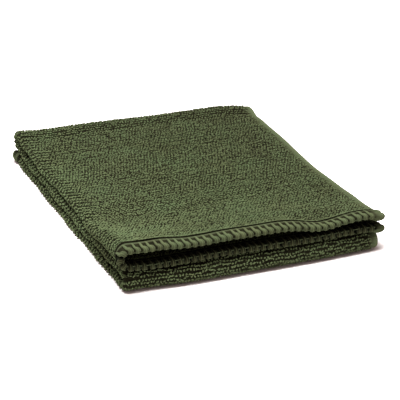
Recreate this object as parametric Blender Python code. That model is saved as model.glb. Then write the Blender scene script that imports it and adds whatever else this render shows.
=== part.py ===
"""Bath towel in chunky terry, folded in half along its length and then in three, lying flat.

Metres, +Z up. The origin is on the surface, under the middle of the folded towel. The long
fold of the first folding is at -X and the selvedges are at +X. The second folding goes back
and forth between a front fold at -Y and a back fold at +Y. One hemmed end shows at the front,
on top, and the other lies at the back, at the bottom.
"""

import math

import bmesh
import bpy
from mathutils import Vector

# Folded size
FOLDED_WIDTH = 0.350
FOLDED_DEPTH = 0.462

# Cloth: terry with pile on both faces, and a thick overcast hem at each end
TERRY = 0.0054
HEM = 0.0082
HEM_DEPTH = 0.018
SEAM_THICKNESS = 0.0040
SEAM_HALF_WIDTH = 0.003
EDGE_ROUND = 0.0024
LAYER_GAP = 0.0006

# Plain woven selvedges: their own thickness, and the share of a layer's room that they need
SELVEDGE = 0.0030
SELVEDGE_WIDTH = 0.009
SELVEDGE_ROOM = 0.92
SELVEDGE_REACH = 0.022

# How the folds stand up: extra height there, and how far into the panel it reaches
LONG_FOLD_BULGE = 0.0006
LONG_FOLD_BULGE_AT_BACK = 0.0001
LONG_FOLD_REACH = 0.040
FRONT_FOLD_LIFT_LEFT = 0.0060
FRONT_FOLD_LIFT_RIGHT = 0.0045
FRONT_FOLD_REACH = 0.16
BACK_FOLD_LIFT_LEFT = 0.0042
BACK_FOLD_LIFT_RIGHT = -0.0004
BACK_FOLD_REACH = 0.11

# How far each long fold wanders in and out and swells, and the length of one wander. It runs
# true again near the folds that join the panels.
FOLD_WANDER = 0.0012
FOLD_SWELL = 0.0012
WANDER_LENGTH = 0.105
WANDER_END = 0.170
WANDER_FADE = 0.045

# The mouth between the two layers at the top hem, widest beside the long fold
MOUTH_LEFT = 0.0185
MOUTH_RIGHT = 0.0085
MOUTH_REACH = 0.15
MOUTH_TAPER = 1.4
HEM_DROOP = 0.30
HEM_DROOP_REACH = 0.030

# Soft humps and dips of the top layer near its hem: where each is, its half widths, its height
HUMPS = (
    {"x": -0.130, "from_hem": 0.010, "half_across": 0.042, "half_along": 0.060, "height": 0.0035},
    {"x": -0.030, "from_hem": 0.010, "half_across": 0.050, "half_along": 0.060, "height": 0.0022},
    {"x": 0.030, "from_hem": 0.008, "half_across": 0.062, "half_along": 0.060, "height": 0.0040},
    {"x": 0.085, "from_hem": 0.006, "half_across": 0.038, "half_along": 0.050, "height": -0.0020},
    {"x": 0.098, "from_hem": 0.028, "half_across": 0.048, "half_along": 0.045, "height": -0.0038},
    {"x": 0.150, "from_hem": 0.000, "half_across": 0.055, "half_along": 0.045, "height": 0.0024},
)

# The second folding isn't quite square: how far its edges lean over the width
FRONT_SKEW = 0.000
BACK_SKEW = 0.0025

# The back fold is drawn in at its free corner
CORNER_INSET = 0.011
CORNER_WIDTH = 0.050
CORNER_REACH = 0.090

# The front fold is drawn back at both corners
FRONT_INSET_LEFT = 0.0070
FRONT_INSET_RIGHT = 0.0035
FRONT_INSET_WIDTH = 0.100
FRONT_INSET_REACH = 0.070

# Soft waves in the top panel
WAVE_HEIGHT = 0.0008
WAVE_ACROSS = 0.21
WAVE_ALONG = 0.16

# The panels in their order along the cloth, and the places where their runs start and end
BOTTOM, MIDDLE, TOP = range(3)
FOLD_INSET = 2 * TERRY + 1.5 * LAYER_GAP
HEM_INSET_BACK = 0.004
HEM_INSET_FRONT = 0.002

# How far the edges stray from the folded width. The station counts panels along the cloth,
# from the bottom hem at 0, past the front fold at 1 and the back fold at 2, to the top hem.
EDGES = (
    {"station": 0.0, "left": -0.0035, "right": 0.0010},
    {"station": 0.4, "left": -0.0035, "right": -0.0020},
    {"station": 1.0, "left": -0.0010, "right": -0.0060},
    {"station": 1.5, "left": -0.0018, "right": -0.0040},
    {"station": 2.0, "left": -0.0015, "right": 0.0012},
    {"station": 2.1, "left": -0.0009, "right": 0.0046},
    {"station": 2.5, "left": 0.0015, "right": 0.0022},
    {"station": 2.75, "left": -0.0030, "right": 0.0056},
    {"station": 2.9, "left": -0.0057, "right": 0.0024},
    {"station": 3.0, "left": -0.0075, "right": 0.0005},
)

# Grid of the cloth's mid-surface
RUN_SPANS = 8
FOLD_SPANS = 8
LONG_FOLD_SPANS = 8
WIDTH_SPANS = 10
CROWDING = 1.5
EDGE_DISTANCES = (0.0, 0.25 * EDGE_ROUND, EDGE_ROUND)
HEM_DISTANCES = (
    *EDGE_DISTANCES,
    0.5 * HEM_DEPTH,
    HEM_DEPTH - SEAM_HALF_WIDTH,
    HEM_DEPTH,
    HEM_DEPTH + SEAM_HALF_WIDTH,
)

TERRY_GREEN = (0.088, 0.130, 0.048, 1.0)


def ease(share):
    """0 to 1 with level ends."""
    share = min(max(share, 0.0), 1.0)
    return share * share * (3.0 - 2.0 * share)


def between(start, end, share):
    return start + (end - start) * share


def across(x):
    """0 at the long fold, 1 at the selvedges."""
    return min(max(x / FOLDED_WIDTH + 0.5, 0.0), 1.0)


def run_ends(panel):
    """The y where a panel's run starts and ends, in the order of the cloth."""
    front = -FOLDED_DEPTH / 2 + FOLD_INSET
    back = FOLDED_DEPTH / 2 - FOLD_INSET
    hem_back = FOLDED_DEPTH / 2 - HEM_INSET_BACK
    hem_front = -FOLDED_DEPTH / 2 + HEM_INSET_FRONT
    return ((hem_back, front), (front, back), (back, hem_front))[panel]


def station(panel, y):
    start, end = run_ends(panel)
    return panel + (y - start) / (end - start)


def edge(side, place):
    """How far the left or right edge strays at a station along the cloth."""
    for low, high in zip(EDGES, EDGES[1:]):
        if place <= high["station"]:
            share = (place - low["station"]) / (high["station"] - low["station"])
            return between(low[side], high[side], ease(share))
    return EDGES[-1][side]


def hem_distance(panel, y):
    """Distance from the panel's hem, or None for the middle panel, which has none."""
    if panel == MIDDLE:
        return None
    return abs(y - run_ends(panel)[0 if panel == BOTTOM else 1])


def right_edge(panel, y):
    return FOLDED_WIDTH / 2 + edge("right", station(panel, y))


def wander(panel, y):
    """-1 to 1 along a panel's long fold. No two panels' folds run quite side by side."""
    turn = 2 * math.pi * y / WANDER_LENGTH + 2.4 * panel
    fade = 1.0 - ease((abs(y) - WANDER_END) / WANDER_FADE)
    return fade * (0.7 * math.sin(turn) + 0.3 * math.sin(2.7 * turn))


def left_edge(panel, y):
    """The outermost place of the mid-surface in the long fold."""
    strays = edge("left", station(panel, y)) + FOLD_WANDER * wander(panel, y)
    return -FOLDED_WIDTH / 2 + TERRY / 2 + strays


def thickness(panel, x, y):
    """The terry, thin at the selvedges, with a full hem and the groove of its seam."""
    from_selvedge = right_edge(panel, y) - x
    terry = between(SELVEDGE, TERRY, ease(from_selvedge / SELVEDGE_WIDTH))
    distance = hem_distance(panel, y)
    if distance is None:
        return terry
    if distance < HEM_DEPTH:
        share = (distance - HEM_DEPTH + SEAM_HALF_WIDTH) / SEAM_HALF_WIDTH
        return between(HEM, SEAM_THICKNESS, ease(share))
    share = (distance - HEM_DEPTH) / SEAM_HALF_WIDTH
    return between(min(SEAM_THICKNESS, terry), terry, ease(share))


def humps(x, distance):
    """Height of the soft humps at a distance from the hem."""
    height = 0.0
    for hump in HUMPS:
        away_x = (x - hump["x"]) / hump["half_across"]
        away_y = (distance - hump["from_hem"]) / hump["half_along"]
        height += hump["height"] * (1.0 - ease(math.hypot(away_x, away_y)))
    return height


def mouth(panel, x, y):
    """Extra room between the two layers of the top panel, towards its hem."""
    if panel != TOP:
        return 0.0
    distance = hem_distance(panel, y)
    widest = between(MOUTH_RIGHT, MOUTH_LEFT, (1.0 - across(x)) ** MOUTH_TAPER)
    rise = 1.0 - ease(distance / MOUTH_REACH)
    droop = HEM_DROOP * (1.0 - ease(distance / HEM_DROOP_REACH))
    return widest * (rise - droop) + humps(x, distance)


def wave(panel, x, y):
    if panel != TOP:
        return 0.0
    turns_across = 2 * math.pi * x / WAVE_ACROSS
    turns_along = 2 * math.pi * y / WAVE_ALONG
    shape = math.sin(turns_across + 0.6 * math.sin(turns_along)) * math.cos(turns_along)
    return WAVE_HEIGHT * (1.0 + shape)


def room(panel, x, y):
    """The height that one layer takes up in the stack: its seam's groove saves none."""
    share = between(SELVEDGE_ROOM, 1.0, ease((right_edge(panel, y) - x) / SELVEDGE_REACH))
    distance = hem_distance(panel, y)
    if distance is None:
        return TERRY * share
    return between(HEM, TERRY * share, ease(distance / HEM_DEPTH - 0.8))


def bulge(panel, x, y):
    """The long fold springs open a little, least towards the back."""
    size = between(LONG_FOLD_BULGE, LONG_FOLD_BULGE_AT_BACK, ease(y / FOLDED_DEPTH + 0.5))
    size += FOLD_SWELL * (0.5 + 0.5 * wander(panel + 0.8, y))
    return size * (1.0 - ease((x - left_edge(panel, y)) / LONG_FOLD_REACH))


def spread(panel, x, y):
    """Half the distance between the mid-surfaces of a panel's two layers."""
    extra = mouth(panel, x, y) + bulge(panel, x, y)
    return (room(panel, x, y) + LAYER_GAP + extra) / 2


def half_height(panel, x, y):
    return spread(panel, x, y) + room(panel, x, y) / 2


def lift(panel, x, y):
    """How far a panel stands off the one below, near the fold that joins them."""
    if panel == MIDDLE:
        height = between(FRONT_FOLD_LIFT_LEFT, FRONT_FOLD_LIFT_RIGHT, across(x))
        return height * (1.0 - ease(abs(y - run_ends(MIDDLE)[0]) / FRONT_FOLD_REACH))
    if panel == TOP:
        height = between(BACK_FOLD_LIFT_LEFT, BACK_FOLD_LIFT_RIGHT, across(x))
        return height * (1.0 - ease(abs(y - run_ends(TOP)[0]) / BACK_FOLD_REACH))
    return 0.0


def level(panel, x, y):
    """Height of the middle of a panel's two layers: each panel rests on the one below."""
    own = half_height(panel, x, y) + lift(panel, x, y) + wave(panel, x, y)
    if panel == BOTTOM:
        return own
    below = min(max(y, run_ends(MIDDLE)[0]), run_ends(MIDDLE)[1])
    return level(panel - 1, x, below) + half_height(panel - 1, x, below) + LAYER_GAP + own


def cloth_rows():
    """Places along the cloth: (panel, y, turn), with the turn in radians inside a fold."""
    rows = []
    for panel in (BOTTOM, MIDDLE, TOP):
        start, end = run_ends(panel)
        heading = math.copysign(1.0, end - start)
        stops = [start + (end - start) * step / RUN_SPANS for step in range(RUN_SPANS + 1)]
        if panel == BOTTOM:
            stops[:1] = [start + heading * distance for distance in HEM_DISTANCES]
        if panel == TOP:
            stops[-1:] = [end - heading * distance for distance in reversed(HEM_DISTANCES)]
        rows += [(panel, y, None) for y in stops]
        if panel != TOP:
            turns = (math.pi * (step / FOLD_SPANS - 0.5) for step in range(1, FOLD_SPANS))
            rows += [(panel, end, turn) for turn in turns]
    return rows


def corner_inset(panel, x, y):
    """How far the cloth is drawn forward near the back fold's free corner."""
    if panel == BOTTOM:
        return 0.0
    from_fold = abs(y - run_ends(TOP)[0])
    from_selvedge = right_edge(panel, y) - x
    share = (1.0 - ease(from_fold / CORNER_REACH)) * (1.0 - ease(from_selvedge / CORNER_WIDTH))
    return CORNER_INSET * share


def front_inset(panel, x, y):
    """How far the cloth is drawn back near the front fold's two corners."""
    if panel == TOP:
        return 0.0
    by_left = 1.0 - ease(across(x) * FOLDED_WIDTH / FRONT_INSET_WIDTH)
    by_right = 1.0 - ease((1.0 - across(x)) * FOLDED_WIDTH / FRONT_INSET_WIDTH)
    inset = FRONT_INSET_LEFT * by_left + FRONT_INSET_RIGHT * by_right
    return inset * (1.0 - ease(abs(y - run_ends(MIDDLE)[0]) / FRONT_INSET_REACH))


def askew(x, y):
    """How far the cloth slides along +Y because the second folding isn't square."""
    lean = between(FRONT_SKEW, BACK_SKEW, y / FOLDED_DEPTH + 0.5)
    return lean * (0.5 - across(x))


def strip_frame(row, x):
    """The middle of the doubled cloth at a row, as (y, z), and the way to its second layer."""
    panel, y, turn = row
    drawn_y = y - corner_inset(panel, x, y) + front_inset(panel, x, y) + askew(x, y)
    if turn is None:
        return (drawn_y, level(panel, x, y)), (0.0, -1.0 if panel == MIDDLE else 1.0)
    low = level(panel, x, y)
    high = level(panel + 1, x, y)
    radius = (high - low) / 2
    outward = (math.copysign(math.cos(turn), y), math.sin(turn))
    point = (drawn_y + radius * outward[0], (low + high) / 2 + radius * outward[1])
    side = -1.0 if panel == BOTTOM else 1.0
    return point, (side * outward[0], side * outward[1])


def cloth_point(row, x, offset):
    (y, z), second = strip_frame(row, x)
    return Vector((x, y + offset * second[0], z + offset * second[1]))


def cloth_line(row):
    """Points across one row: first layer from its selvedge, the long fold, second layer."""
    panel, y, _ = row
    right = right_edge(panel, y)
    left = left_edge(panel, y)
    bend = spread(panel, left, y)
    inner = right - EDGE_DISTANCES[-1]
    xs = [right - distance for distance in EDGE_DISTANCES]
    for step in range(1, WIDTH_SPANS + 1):
        share = (1.0 - step / WIDTH_SPANS) ** CROWDING
        xs.append(between(left + bend, inner, share))
    first = [cloth_point(row, x, -spread(panel, x, y)) for x in xs]
    fold = []
    for step in range(1, LONG_FOLD_SPANS):
        turn_in_fold = math.pi * (step / LONG_FOLD_SPANS - 0.5)
        x = left + bend - bend * math.cos(turn_in_fold)
        fold.append(cloth_point(row, x, bend * math.sin(turn_in_fold)))
    second = [cloth_point(row, x, spread(panel, x, y)) for x in reversed(xs)]
    return first + fold + second


def edge_thinning(distance):
    """Rounds the cut edges: the share of the thickness left near an edge."""
    inward = min(max(distance / EDGE_ROUND, 0.0), 1.0)
    return between(0.45, 1.0, math.sqrt(1.0 - (1.0 - inward) ** 2))


def grid_normal(grid, row, column):
    """Unit normal of the mid-surface, from its neighbours."""
    before, after = grid[max(row - 1, 0)][column], grid[min(row + 1, len(grid) - 1)][column]
    line = grid[row]
    near, far = line[max(column - 1, 0)], line[min(column + 1, len(line) - 1)]
    return (after - before).cross(far - near).normalized()


def thicken(mesh, rows, grid):
    """Two faces of the cloth around its mid-surface, joined along the four edges."""
    columns = len(grid[0])
    faces = {}
    for side in (1, -1):
        layer = []
        for row_index, (panel, y, turn) in enumerate(rows):
            distance = hem_distance(panel, y)
            along = 1.0 if distance is None or turn is not None else edge_thinning(distance)
            line = []
            for column in range(columns):
                body = thickness(panel, grid[row_index][column].x, y)
                from_selvedge = min(column, columns - 1 - column)
                selvedge = (
                    edge_thinning(EDGE_DISTANCES[from_selvedge])
                    if from_selvedge < len(EDGE_DISTANCES)
                    else 1.0
                )
                half = body * min(along, selvedge) / 2
                point = grid[row_index][column] + side * half * grid_normal(
                    grid, row_index, column
                )
                line.append(mesh.verts.new(point))
            layer.append(line)
        faces[side] = layer

    def quad(corners, flipped):
        mesh.faces.new(corners[::-1] if flipped else corners)

    for side, layer in faces.items():
        for low, high in zip(layer, layer[1:]):
            for column in range(columns - 1):
                corners = [low[column], high[column], high[column + 1], low[column + 1]]
                quad(corners, side < 0)
    upper, lower = faces[1], faces[-1]
    for column in range(columns - 1):
        for row_index, flipped in ((0, False), (len(rows) - 1, True)):
            a, b = upper[row_index][column], upper[row_index][column + 1]
            c, d = lower[row_index][column + 1], lower[row_index][column]
            quad([a, b, c, d], flipped)
    for row_index in range(len(rows) - 1):
        for column, flipped in ((0, True), (columns - 1, False)):
            a, b = upper[row_index][column], upper[row_index + 1][column]
            c, d = lower[row_index + 1][column], lower[row_index][column]
            quad([a, b, c, d], flipped)


def put_over_origin(mesh):
    """Moves the cloth so that the middle of its width and of its depth is over the origin."""
    xs = [vert.co.x for vert in mesh.verts]
    ys = [vert.co.y for vert in mesh.verts]
    middle = Vector(((min(xs) + max(xs)) / 2, (min(ys) + max(ys)) / 2, 0.0))
    for vert in mesh.verts:
        vert.co -= middle


def terry_material():
    material = bpy.data.materials.new("green_terry")
    material.use_nodes = True
    shader = material.node_tree.nodes["Principled BSDF"]
    shader.inputs["Base Color"].default_value = TERRY_GREEN
    shader.inputs["Roughness"].default_value = 0.95
    shader.inputs["Metallic"].default_value = 0.0
    return material


def make_towel():
    rows = cloth_rows()
    grid = [cloth_line(row) for row in rows]
    mesh = bmesh.new()
    thicken(mesh, rows, grid)
    put_over_origin(mesh)
    data = bpy.data.meshes.new("towel")
    mesh.to_mesh(data)
    mesh.free()
    data.materials.append(terry_material())
    data.shade_smooth()
    data.set_sharp_from_angle(angle=math.radians(50))
    towel = bpy.data.objects.new("towel", data)
    bpy.context.scene.collection.objects.link(towel)
    return towel


for old in list(bpy.data.objects):
    bpy.data.objects.remove(old)
make_towel()
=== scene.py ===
import math

import bpy
import numpy as np
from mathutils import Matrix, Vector


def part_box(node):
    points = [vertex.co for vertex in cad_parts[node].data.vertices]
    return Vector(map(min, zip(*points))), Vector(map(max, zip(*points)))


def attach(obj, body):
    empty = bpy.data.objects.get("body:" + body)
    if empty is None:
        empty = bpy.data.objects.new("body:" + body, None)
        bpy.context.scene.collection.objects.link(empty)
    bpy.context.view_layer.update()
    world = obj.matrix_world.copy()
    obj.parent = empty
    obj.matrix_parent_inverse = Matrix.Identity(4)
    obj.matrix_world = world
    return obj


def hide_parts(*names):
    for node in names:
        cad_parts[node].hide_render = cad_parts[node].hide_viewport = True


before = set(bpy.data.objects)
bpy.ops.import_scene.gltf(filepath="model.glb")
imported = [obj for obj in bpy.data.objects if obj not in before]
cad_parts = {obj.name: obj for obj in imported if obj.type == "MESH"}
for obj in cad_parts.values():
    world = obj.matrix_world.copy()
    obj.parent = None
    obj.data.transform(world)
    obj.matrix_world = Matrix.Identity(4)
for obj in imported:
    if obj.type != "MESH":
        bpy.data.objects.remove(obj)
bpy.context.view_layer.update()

bpy.ops.object.select_all(action="DESELECT")


# --- The cloth ------------------------------------------------------------------------------
# One length of chunky cotton terry, woven in one piece with plain selvedges on its long sides
# and a thick rolled hem at each end. It is folded in half along its length, with that fold at
# -X, and then back and forth in three, with a fold at the front (-Y) and one at the back (+Y).
FOLDED_WIDTH = 0.350
FOLDED_DEPTH = 0.462
TERRY = 0.0054
LAYER_GAP = 0.0006

# The hem under its overcast stitches, its full thickness, and the narrow groove of its seam
HEM = 0.0082
HEM_DEPTH = 0.018
HEM_CORE = 0.0054
HEM_ROLL = 0.0076
STITCH_DEPTH = 0.0088
SEAM_AT = 0.0165
SEAM_HALF_WIDTH = 0.0022
SEAM_THICKNESS = 0.0032
EDGE_ROUND = 0.0028

# The plain selvedges
SELVEDGE = 0.0030
SELVEDGE_WIDTH = 0.0130
SELVEDGE_ROOM = 0.92
SELVEDGE_REACH = 0.022

# How the folds stand up
LONG_FOLD_BULGE = 0.0006
LONG_FOLD_BULGE_AT_BACK = 0.0001
LONG_FOLD_REACH = 0.040
FOLD_WANDER = 0.0012
FOLD_SWELL = 0.0012
WANDER_LENGTH = 0.105
WANDER_END = 0.170
WANDER_FADE = 0.045
FRONT_FOLD_LIFT_LEFT = 0.0060
FRONT_FOLD_LIFT_RIGHT = 0.0045
FRONT_FOLD_REACH = 0.16
BACK_FOLD_LIFT_LEFT = 0.0042
BACK_FOLD_LIFT_RIGHT = -0.0004
BACK_FOLD_REACH = 0.11

# The mouth between the two layers at the top hem, and the soft humps and hollows of its upper
# layer
MOUTH_LEFT = 0.0185
MOUTH_RIGHT = 0.0085
MOUTH_REACH = 0.15
MOUTH_TAPER = 1.4
HEM_DROOP = 0.30
HEM_DROOP_REACH = 0.030
HUMPS = (
    {"x": -0.130, "from_hem": 0.010, "half_across": 0.042, "half_along": 0.060, "height": 0.0035},
    {"x": -0.030, "from_hem": 0.010, "half_across": 0.050, "half_along": 0.060, "height": 0.0022},
    {"x": 0.030, "from_hem": 0.008, "half_across": 0.062, "half_along": 0.060, "height": 0.0040},
    {"x": 0.085, "from_hem": 0.006, "half_across": 0.038, "half_along": 0.050, "height": -0.0020},
    {"x": 0.098, "from_hem": 0.028, "half_across": 0.048, "half_along": 0.045, "height": -0.0038},
    {"x": 0.150, "from_hem": 0.000, "half_across": 0.055, "half_along": 0.045, "height": 0.0024},
)

# The second folding is a little askew towards the back. The back fold is drawn in at its free
# corner, and the front fold at both of its corners.
BACK_SKEW = 0.0025
CORNER_INSET = 0.011
CORNER_WIDTH = 0.050
CORNER_REACH = 0.090
FRONT_INSET_LEFT = 0.0070
FRONT_INSET_RIGHT = 0.0035
FRONT_INSET_WIDTH = 0.100
FRONT_INSET_REACH = 0.070

# Soft waves of the top panel, and its main soft ridges and troughs, each with the place of its
# middle, its length and width, the way that it runs in degrees, and its height
WAVE_HEIGHT = 0.0008
WAVE_ACROSS = 0.21
WAVE_ALONG = 0.16
CREASES = (
    {"x": 0.125, "y": -0.150, "length": 0.150, "width": 0.032, "turn": 62, "height": -0.0012},
    {"x": 0.085, "y": -0.175, "length": 0.120, "width": 0.036, "turn": 70, "height": 0.0009},
    {"x": -0.100, "y": -0.150, "length": 0.120, "width": 0.060, "turn": 20, "height": -0.0010},
    {"x": -0.125, "y": -0.040, "length": 0.220, "width": 0.052, "turn": 96, "height": 0.0008},
    {"x": 0.020, "y": 0.110, "length": 0.180, "width": 0.068, "turn": 35, "height": -0.0010},
    {"x": 0.040, "y": -0.060, "length": 0.200, "width": 0.060, "turn": 10, "height": 0.0008},
    {"x": 0.120, "y": 0.080, "length": 0.160, "width": 0.060, "turn": 150, "height": -0.0009},
    {"x": -0.060, "y": 0.060, "length": 0.140, "width": 0.060, "turn": 120, "height": 0.0007},
)
CREASE_FROM_FOLD = 0.030
CREASE_FROM_HEM = 0.040

# The panels in their order along the cloth, and the y where the run of each starts and ends
BOTTOM, MIDDLE, TOP = range(3)
FOLD_INSET = 2 * TERRY + 1.5 * LAYER_GAP
HEM_INSET_BACK = 0.004
HEM_INSET_FRONT = 0.002
FRONT_RUN = -FOLDED_DEPTH / 2 + FOLD_INSET
BACK_RUN = FOLDED_DEPTH / 2 - FOLD_INSET
RUN_ENDS = (
    (FOLDED_DEPTH / 2 - HEM_INSET_BACK, FRONT_RUN),
    (FRONT_RUN, BACK_RUN),
    (BACK_RUN, -FOLDED_DEPTH / 2 + HEM_INSET_FRONT),
)

# How far the left and right edges stray from the folded width, by panels along the cloth
EDGES = (
    {"station": 0.0, "left": -0.0035, "right": 0.0010},
    {"station": 0.4, "left": -0.0035, "right": -0.0020},
    {"station": 1.0, "left": -0.0010, "right": -0.0060},
    {"station": 1.5, "left": -0.0018, "right": -0.0040},
    {"station": 2.0, "left": -0.0015, "right": 0.0012},
    {"station": 2.1, "left": -0.0009, "right": 0.0046},
    {"station": 2.5, "left": 0.0015, "right": 0.0022},
    {"station": 2.75, "left": -0.0030, "right": 0.0056},
    {"station": 2.9, "left": -0.0057, "right": 0.0024},
    {"station": 3.0, "left": -0.0075, "right": 0.0005},
)


def ease(share):
    """0 to 1 with level ends."""
    share = np.clip(share, 0.0, 1.0)
    return share * share * (3.0 - 2.0 * share)


def between(start, end, share):
    return start + (end - start) * share


def across(x):
    """0 at the long fold, 1 at the selvedges."""
    return np.clip(x / FOLDED_WIDTH + 0.5, 0.0, 1.0)


def station(panel, y):
    start, end = RUN_ENDS[panel]
    return panel + (y - start) / (end - start)


def edge(side, place):
    """How far the left or right edge strays at a station along the cloth."""
    for low, high in zip(EDGES, EDGES[1:]):
        if place <= high["station"]:
            share = (place - low["station"]) / (high["station"] - low["station"])
            return between(low[side], high[side], ease(share))
    return EDGES[-1][side]


def hem_distance(panel, y):
    """Distance from the panel's hem; the middle panel has none, so it is far off."""
    if panel == MIDDLE:
        return 1.0
    return abs(y - RUN_ENDS[panel][0 if panel == BOTTOM else 1])


def right_edge(panel, y):
    return FOLDED_WIDTH / 2 + edge("right", station(panel, y))


def wander(panel, y):
    """-1 to 1 along a panel's long fold. No two panels' folds run quite side by side."""
    turn = 2 * math.pi * y / WANDER_LENGTH + 2.4 * panel
    fade = 1.0 - ease((abs(y) - WANDER_END) / WANDER_FADE)
    return fade * (0.7 * math.sin(turn) + 0.3 * math.sin(2.7 * turn))


def left_edge(panel, y):
    """The outermost place of the mid-surface in the long fold."""
    strays = edge("left", station(panel, y)) + FOLD_WANDER * wander(panel, y)
    return -FOLDED_WIDTH / 2 + TERRY / 2 + strays


def humps(x, distance):
    """Height of the soft humps at a distance from the hem."""
    height = 0.0
    for hump in HUMPS:
        away_x = (x - hump["x"]) / hump["half_across"]
        away_y = (distance - hump["from_hem"]) / hump["half_along"]
        height = height + hump["height"] * (1.0 - ease(np.hypot(away_x, away_y)))
    return height


def mouth(panel, x, y):
    """Extra room between the two layers of the top panel, towards its hem."""
    if panel != TOP:
        return 0.0
    distance = hem_distance(panel, y)
    widest = between(MOUTH_RIGHT, MOUTH_LEFT, (1.0 - across(x)) ** MOUTH_TAPER)
    rise = 1.0 - ease(distance / MOUTH_REACH)
    droop = HEM_DROOP * (1.0 - ease(distance / HEM_DROOP_REACH))
    return widest * (rise - droop) + humps(x, distance)


def wave(panel, x, y):
    if panel != TOP:
        return 0.0
    turns_across = 2 * math.pi * x / WAVE_ACROSS
    turns_along = 2 * math.pi * y / WAVE_ALONG
    shape = np.sin(turns_across + 0.6 * np.sin(turns_along)) * np.cos(turns_along)
    return WAVE_HEIGHT * (1.0 + shape)


def room(panel, x, y):
    """The height that one layer takes up in the stack."""
    share = between(SELVEDGE_ROOM, 1.0, ease((right_edge(panel, y) - x) / SELVEDGE_REACH))
    return between(HEM, TERRY * share, ease(hem_distance(panel, y) / HEM_DEPTH - 0.8))


def spread(panel, x, y):
    """Half the distance between the mid-surfaces of a panel's two layers."""
    size = between(LONG_FOLD_BULGE, LONG_FOLD_BULGE_AT_BACK, ease(y / FOLDED_DEPTH + 0.5))
    size = size + FOLD_SWELL * (0.5 + 0.5 * wander(panel + 0.8, y))
    bulge = size * (1.0 - ease((x - left_edge(panel, y)) / LONG_FOLD_REACH))
    return (room(panel, x, y) + LAYER_GAP + mouth(panel, x, y) + bulge) / 2


def half_height(panel, x, y):
    return spread(panel, x, y) + room(panel, x, y) / 2


def lift(panel, x, y):
    """How far a panel stands off the one below, near the fold that joins them."""
    if panel == MIDDLE:
        height = between(FRONT_FOLD_LIFT_LEFT, FRONT_FOLD_LIFT_RIGHT, across(x))
        return height * (1.0 - ease(abs(y - FRONT_RUN) / FRONT_FOLD_REACH))
    if panel == TOP:
        height = between(BACK_FOLD_LIFT_LEFT, BACK_FOLD_LIFT_RIGHT, across(x))
        return height * (1.0 - ease(abs(y - BACK_RUN) / BACK_FOLD_REACH))
    return 0.0


def level(panel, x, y):
    """Height of the middle of a panel's two layers: each panel rests on the one below."""
    own = half_height(panel, x, y) + lift(panel, x, y) + wave(panel, x, y)
    if panel == BOTTOM:
        return own
    below = min(max(y, FRONT_RUN), BACK_RUN)
    return level(panel - 1, x, below) + half_height(panel - 1, x, below) + LAYER_GAP + own


def corner_inset(panel, x, y):
    """How far the cloth is drawn forward near the back fold's free corner."""
    if panel == BOTTOM:
        return 0.0
    by_fold = 1.0 - ease(abs(y - BACK_RUN) / CORNER_REACH)
    return CORNER_INSET * by_fold * (1.0 - ease((right_edge(panel, y) - x) / CORNER_WIDTH))


def front_inset(panel, x, y):
    """How far the cloth is drawn back near the front fold's two corners."""
    if panel == TOP:
        return 0.0
    by_left = 1.0 - ease(across(x) * FOLDED_WIDTH / FRONT_INSET_WIDTH)
    by_right = 1.0 - ease((1.0 - across(x)) * FOLDED_WIDTH / FRONT_INSET_WIDTH)
    inset = FRONT_INSET_LEFT * by_left + FRONT_INSET_RIGHT * by_right
    return inset * (1.0 - ease(abs(y - FRONT_RUN) / FRONT_INSET_REACH))


def askew(x, y):
    """How far the cloth slides along +Y because the second folding isn't square."""
    return BACK_SKEW * (y / FOLDED_DEPTH + 0.5) * (0.5 - across(x))


def cloth_points(row, x, offset):
    """Points of a row's mid-surface at x, each at its offset from the doubled cloth's middle."""
    panel, y, turn = row
    drawn_y = y - corner_inset(panel, x, y) + front_inset(panel, x, y) + askew(x, y)
    if turn is None:
        side = -1.0 if panel == MIDDLE else 1.0
        return np.stack([x, drawn_y, level(panel, x, y) + offset * side], 1)
    low = level(panel, x, y)
    high = level(panel + 1, x, y)
    out_y, out_z = math.copysign(math.cos(turn), y), math.sin(turn)
    reach = (high - low) / 2 + offset * (-1.0 if panel == BOTTOM else 1.0)
    return np.stack([x, drawn_y + reach * out_y, (low + high) / 2 + reach * out_z], 1)


# The grid: rows go along the cloth from the bottom hem to the top one, and points go along a
# row from the first layer's selvedge, round the long fold, to the second layer's
RUN_SPANS = 56
FOLD_SPANS = 16
LONG_FOLD_SPANS = 14
WIDTH_SPANS = 40
CROWDING = 1.5
SELVEDGE_STEPS = (0.0, 0.0004, 0.0012, 0.0028)
HEM_STEPS = (
    0.0, 0.0003, 0.0008, 0.0016, 0.0030, 0.0050, 0.0070, 0.0084, 0.0089, 0.0096, 0.0104, 0.0112,
    0.0130, 0.0146, 0.0156, 0.0162, 0.0167, 0.0172, 0.0178, 0.0190, 0.0214, 0.0250,
)


def cloth_rows():
    """Places along the cloth: (panel, y, turn), with the turn in radians inside a fold."""
    rows = []
    for panel in (BOTTOM, MIDDLE, TOP):
        start, end = RUN_ENDS[panel]
        heading = math.copysign(1.0, end - start)
        first, last = start, end
        if panel == BOTTOM:
            rows += [(panel, start + heading * step, None) for step in HEM_STEPS]
            first = start + heading * 2 * HEM_STEPS[-1] - heading * HEM_STEPS[-2]
        if panel == TOP:
            last = end - heading * 2 * HEM_STEPS[-1] + heading * HEM_STEPS[-2]
        rows += [(panel, y, None) for y in np.linspace(first, last, RUN_SPANS + 1)]
        if panel == TOP:
            rows += [(panel, end - heading * step, None) for step in reversed(HEM_STEPS)]
        else:
            turns = math.pi * (np.arange(1, FOLD_SPANS) / FOLD_SPANS - 0.5)
            rows += [(panel, end, turn) for turn in turns]
    return rows


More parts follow.
